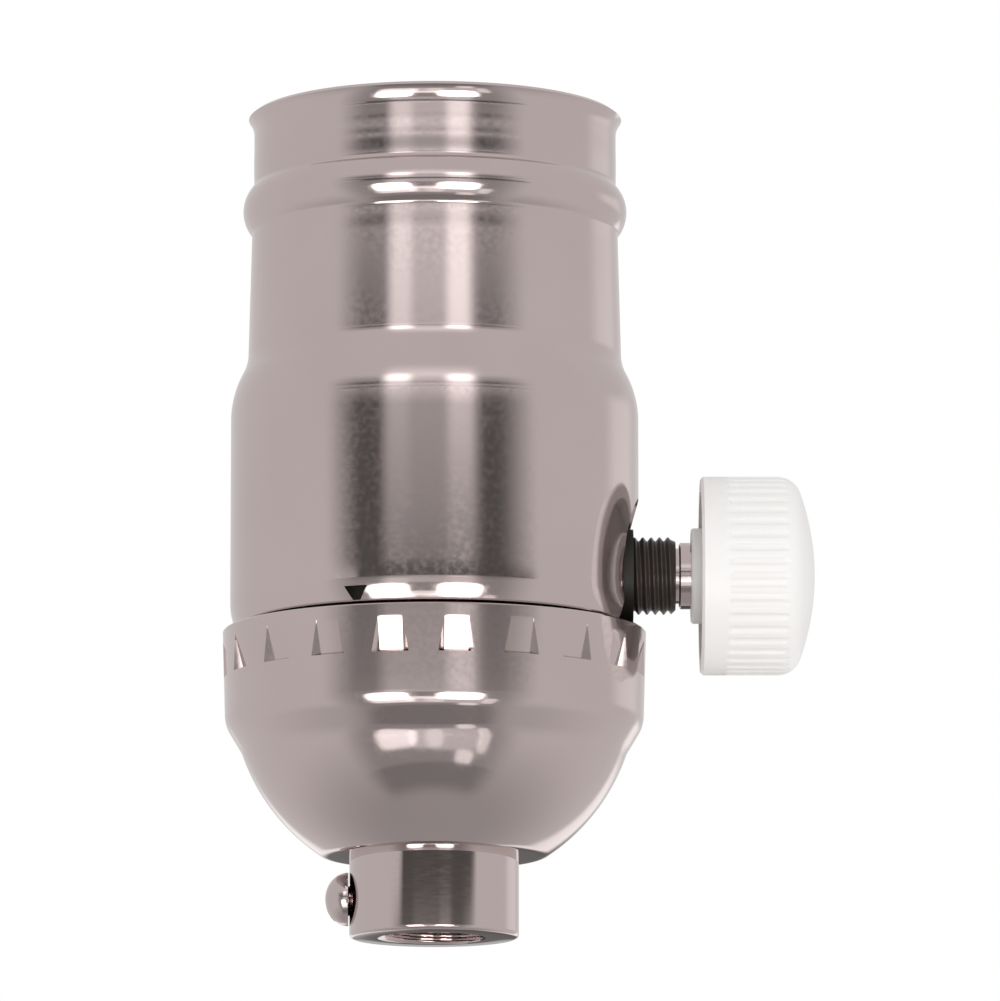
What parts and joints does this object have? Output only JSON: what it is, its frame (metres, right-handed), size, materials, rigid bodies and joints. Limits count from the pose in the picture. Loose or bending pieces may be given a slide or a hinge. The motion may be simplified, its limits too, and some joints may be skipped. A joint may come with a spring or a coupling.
{
  "type": "dimmer lamp socket",
  "caption": "Nickel-plated lamp socket with a screw shell inside, a ribbed white dimmer knob on its side, a cap with pressed catches and a threaded hub with a set screw.",
  "frame": {"origin": "centre of the hub's lower end, where the threaded bore opens", "axes": "+Z along the lamp axis from the hub towards the lamp; +X along the dimmer's axis towards the knob"},
  "size_m": [0.0533, 0.0382, 0.0749],
  "materials": {
    "nickel_plate": "bright nickel plate on drawn metal",
    "white_plastic": "moulded white plastic, satin",
    "black_plastic": "moulded black plastic",
    "fibre": "dark insulating fibre",
    "rolled_aluminium": "plain rolled aluminium",
    "brass": "plain rolled brass",
    "zinc_steel": "zinc-plated steel",
    "black_phenolic": "moulded phenolic",
    "board_laminate": "paper laminate",
    "brown_coating": "dipped coating",
    "tan_coating": "painted coating",
    "blue_coating": "painted glass body",
    "copper_winding": "enamelled copper wire"
  },
  "bodies": {
    "socket_body": {"outer_shell": "nickel_plate", "socket_cap": "nickel_plate", "cap_hub": "nickel_plate", "control_bushing": "black_plastic", "triac": "black_plastic", "insulating_sleeve": "fibre", "screw_shell": "rolled_aluminium", "heat_sink": "rolled_aluminium", "shell_rivets": "brass", "center_contact": "brass", "contact_rivet": "brass", "contact_lug": "brass", "line_terminal": "brass", "line_terminal_screw": "brass", "neutral_terminal": "brass", "control_lugs": "brass", "neutral_terminal_screw": "zinc_steel", "assembly_screws": "zinc_steel", "triac_screw": "zinc_steel", "triac_nut": "zinc_steel", "control_can": "zinc_steel", "contact_base": "black_phenolic", "dimmer_housing": "black_phenolic", "terminal_base": "black_phenolic", "control_track": "board_laminate", "circuit_board": "board_laminate", "timing_capacitor": "brown_coating", "timing_resistor": "tan_coating", "trigger_diac": "blue_coating", "filter_choke": "copper_winding"},
    "dimmer_control": {"dimmer_knob": "white_plastic", "dimmer_shaft": "nickel_plate", "control_rotor": "black_phenolic", "control_wiper": "brass"},
    "hub_screw": {"set_screw": "nickel_plate"}
  },
  "joints": [
    {"name": "dimmer_turn", "type": "hinge", "parent": "socket_body", "child": "dimmer_control", "pos_m": [0, 0, 0.0328], "axis": [-1, 0, 0], "range_deg": [0, 290]},
    {"name": "set_screw_drive", "type": "slide", "parent": "socket_body", "child": "hub_screw", "axis": [-1, 0, 0], "range_m": [0, 0.002]}
  ]
}
